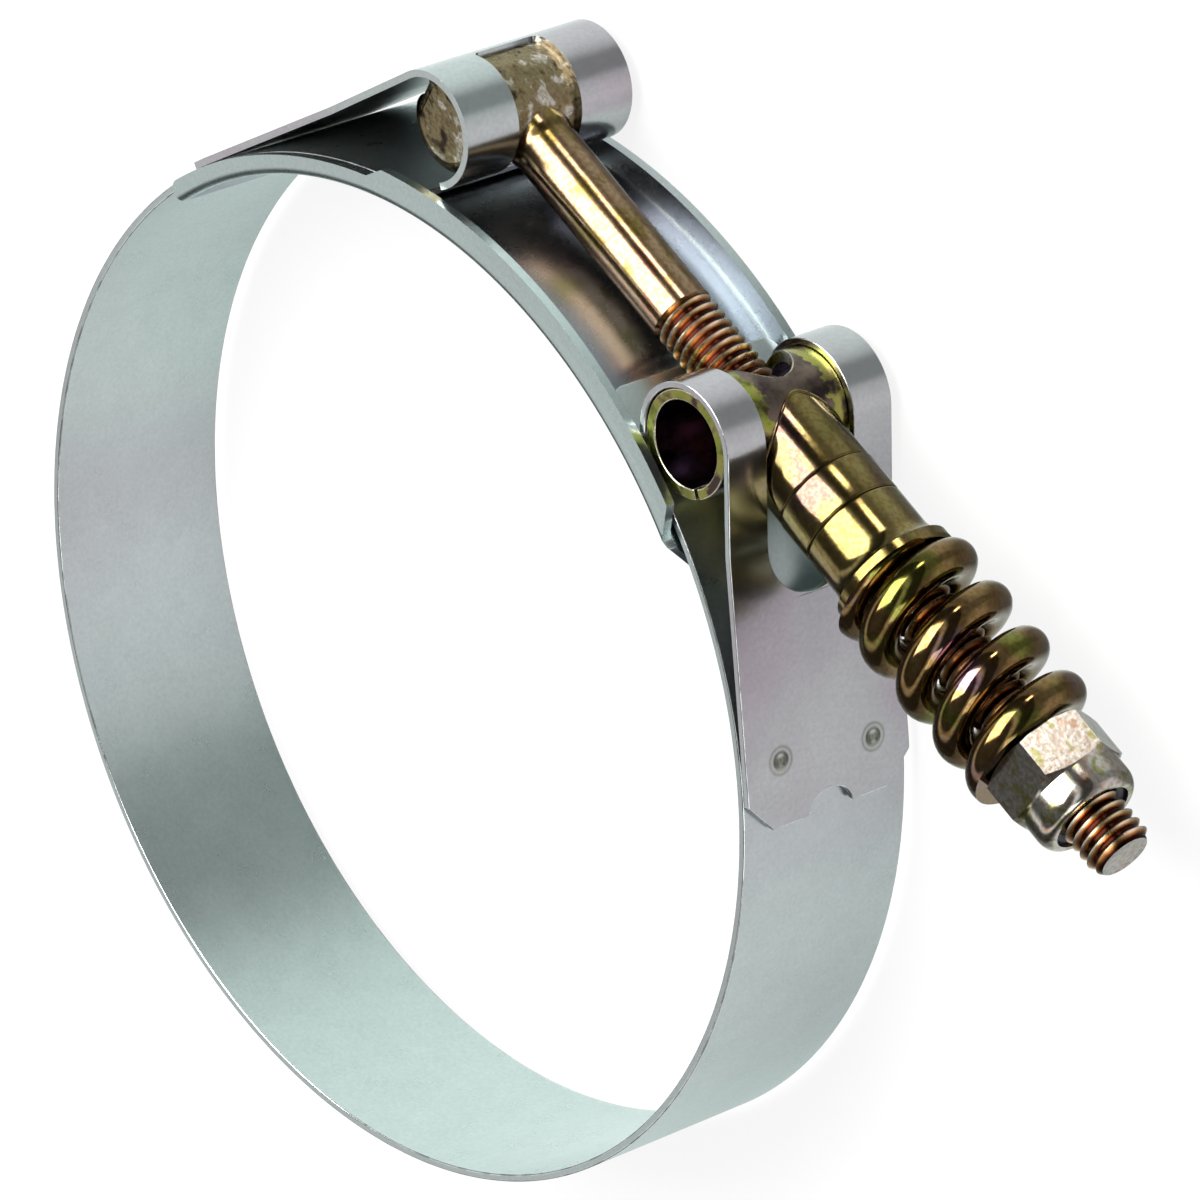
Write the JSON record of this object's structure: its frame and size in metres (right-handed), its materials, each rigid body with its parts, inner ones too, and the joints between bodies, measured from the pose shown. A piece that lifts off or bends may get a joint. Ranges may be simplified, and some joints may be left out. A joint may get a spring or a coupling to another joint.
{
  "type": "t bolt clamp",
  "caption": "Spring-loaded T-bolt band clamp with a slotted strap at each side, a bridge under the gap and a lock nut.",
  "frame": {"origin": "centre of the ring, halfway across the band", "axes": "+Z along the ring's axis, +X along the bolt towards its tip, +Y from the ring's centre towards the bolt"},
  "size_m": [0.1178, 0.106, 0.0214],
  "materials": {
    "band_steel": "satin brushed",
    "strap_steel": "satin rolled",
    "yellow_zinc": "yellow zinc plated",
    "spring_zinc": "yellow zinc plated, glossy",
    "nut_zinc": "zinc plated, bright",
    "insert_plastic": "matte"
  },
  "bodies": {
    "band_side": {"band": "band_steel", "bridge": "band_steel", "bolt_strap": "strap_steel"},
    "band_end": {"nut_strap": "strap_steel"},
    "t_bolt_body": {"t_bolt": "yellow_zinc"},
    "trunnion_body": {"trunnion": "yellow_zinc", "spacer": "yellow_zinc", "spring_seat": "yellow_zinc"},
    "spring_body": {"spring": "spring_zinc"},
    "nut_body": {"lock_nut": "nut_zinc", "nut_insert": "insert_plastic"}
  },
  "joints": [
    {"name": "bolt_swing", "type": "hinge", "parent": "band_side", "child": "t_bolt_body", "pos_m": [-0.02104, 0.05075, 0], "axis": [0, 0, 1], "range_deg": [0, 9.95]},
    {"name": "nut_travel", "type": "slide", "parent": "t_bolt_body", "child": "spring_body", "axis": [-1, 0, 0], "range_m": [0, 0.0264], "deforming": ["spring"]},
    {"name": "nut_spin", "type": "hinge", "parent": "spring_body", "child": "nut_body", "pos_m": [0.06, 0.05075, 0], "axis": [-1, 0, 0], "range_deg": [0, 9510]},
    {"name": "closing", "type": "hinge", "parent": "band_side", "child": "band_end", "pos_m": [0, 0, 0], "axis": [0, 0, 1], "range_deg": [0, 24.1], "deforming": ["band"]},
    {"name": "trunnion_swing", "type": "hinge", "parent": "band_end", "child": "trunnion_body", "pos_m": [0.01755, 0.05075, 0], "axis": [0, 0, 1], "range_deg": [-14.3, 0]}
  ],
  "couplings": [
    {"joint": "nut_spin", "follows": "nut_travel", "rad_per_m": 6283.2},
    {"joint": "closing", "follows": "nut_travel", "rad_per_m": 15.867},
    {"joint": "bolt_swing", "follows": "nut_travel", "rad_per_m": 6.505},
    {"joint": "trunnion_swing", "follows": "nut_travel", "rad_per_m": -9.3613}
  ]
}
